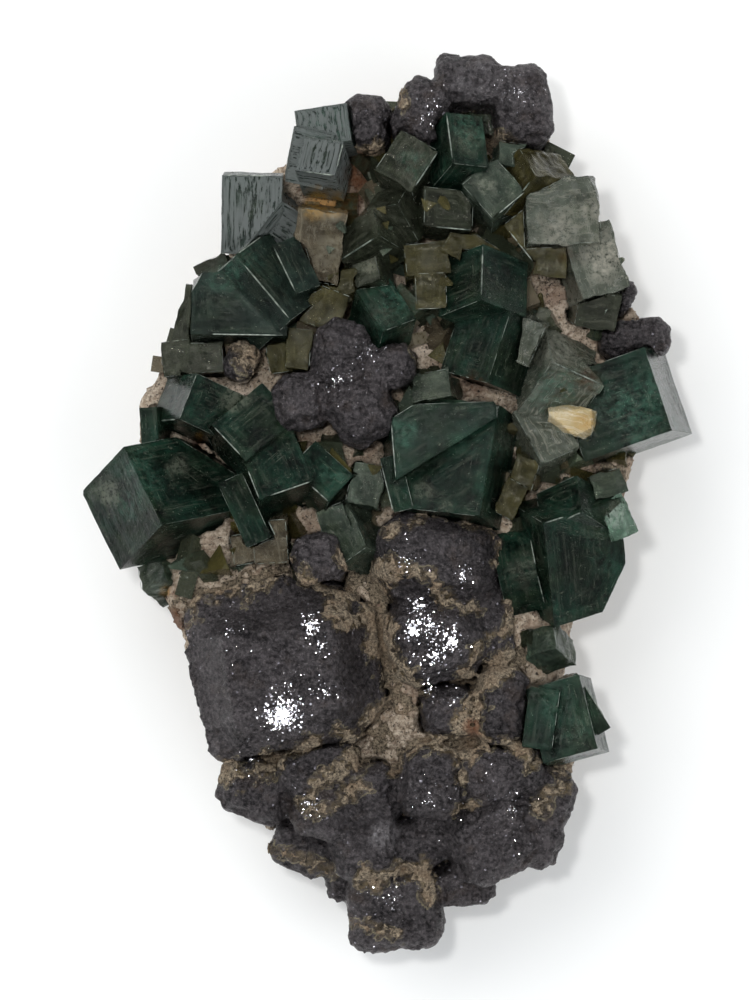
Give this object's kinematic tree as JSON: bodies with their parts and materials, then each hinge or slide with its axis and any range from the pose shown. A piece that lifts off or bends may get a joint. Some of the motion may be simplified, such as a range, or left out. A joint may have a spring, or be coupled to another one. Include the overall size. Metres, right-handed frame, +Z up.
{
  "type": "fluorite with galena specimen",
  "caption": "Hand specimen of dark green fluorite cubes and blunt grey galena crystals on a slab of brown host rock, lying on its flat sawn back with the crystals facing up.",
  "frame": {"origin": "middle of the flat sawn base of the host rock, on the surface that the specimen lies on", "axes": "+Z up, out of the crystal face; +Y along the specimen's length towards its narrow galena top; +X to the right when looking down at the crystals"},
  "size_m": [0.0767, 0.1135, 0.0315],
  "materials": {
    "deep_green_fluorite": "deep bottle-green fluorite, glassy, nearly opaque in bulk",
    "steel_green_fluorite": "grey-green striated fluorite, glassy to satin",
    "smoky_fluorite": "smoky green fluorite, satin",
    "olive_fluorite": "olive to amber fluorite, satin",
    "tan_fluorite": "tan, etched fluorite, dull",
    "pale_fluorite": "pale green fractured fluorite, glassy",
    "mint_fluorite": "pale mint fluorite with fine cracks, glassy",
    "frosted_fluorite": "frosted grey-green fluorite, satin",
    "cream_fluorite": "cream cleavage face, pearly",
    "galena": "tarnished lead-grey, pitted, semi-metallic with small bright sparkles",
    "ironstone": "rough brown granular rock with rust stains"
  },
  "bodies": {
    "root": {"fluorite_left_wing": "deep_green_fluorite", "fluorite_dark_left": "deep_green_fluorite", "fluorite_left_shoulder": "deep_green_fluorite", "fluorite_dark_centre": "deep_green_fluorite", "fluorite_middle": "deep_green_fluorite", "fluorite_right_wing": "deep_green_fluorite", "fluorite_right_dark": "deep_green_fluorite", "fluorite_twin": "steel_green_fluorite", "fluorite_left_edge": "smoky_fluorite", "fluorite_hopper_plate": "steel_green_fluorite", "fluorite_etched_corner": "steel_green_fluorite", "fluorite_top_green": "deep_green_fluorite", "fluorite_olive_ridge": "olive_fluorite", "fluorite_pale_green": "pale_fluorite", "fluorite_top_druse": "smoky_fluorite", "fluorite_tan_block": "tan_fluorite", "fluorite_green_centre": "deep_green_fluorite", "fluorite_olive_blocks": "olive_fluorite", "fluorite_amber_pair": "olive_fluorite", "fluorite_small_olive_pair": "olive_fluorite", "fluorite_frosted": "frosted_fluorite", "fluorite_brown_pair": "olive_fluorite", "fluorite_right_shoulder": "smoky_fluorite", "fluorite_grey_right": "frosted_fluorite", "fluorite_cream_chip": "cream_fluorite", "fluorite_seam_shards": "olive_fluorite", "fluorite_pale_block": "pale_fluorite", "fluorite_pale_mass": "pale_fluorite", "fluorite_tan_shards": "tan_fluorite", "fluorite_left_shard": "pale_fluorite", "fluorite_mint_chip": "mint_fluorite", "fluorite_green_chip": "pale_fluorite", "fluorite_lower_right": "deep_green_fluorite", "fluorite_striated_chip": "pale_fluorite", "galena_big_left": "galena", "galena_small_middle": "galena", "galena_big_right": "galena", "galena_step_blocks": "galena", "galena_lower_field": "galena", "galena_centre": "galena", "galena_left_bleb": "galena", "galena_right_ledge": "galena", "galena_right_bleb": "galena", "galena_top": "galena", "galena_top_left": "galena", "host_rock": "ironstone"}
  },
  "joints": []
}
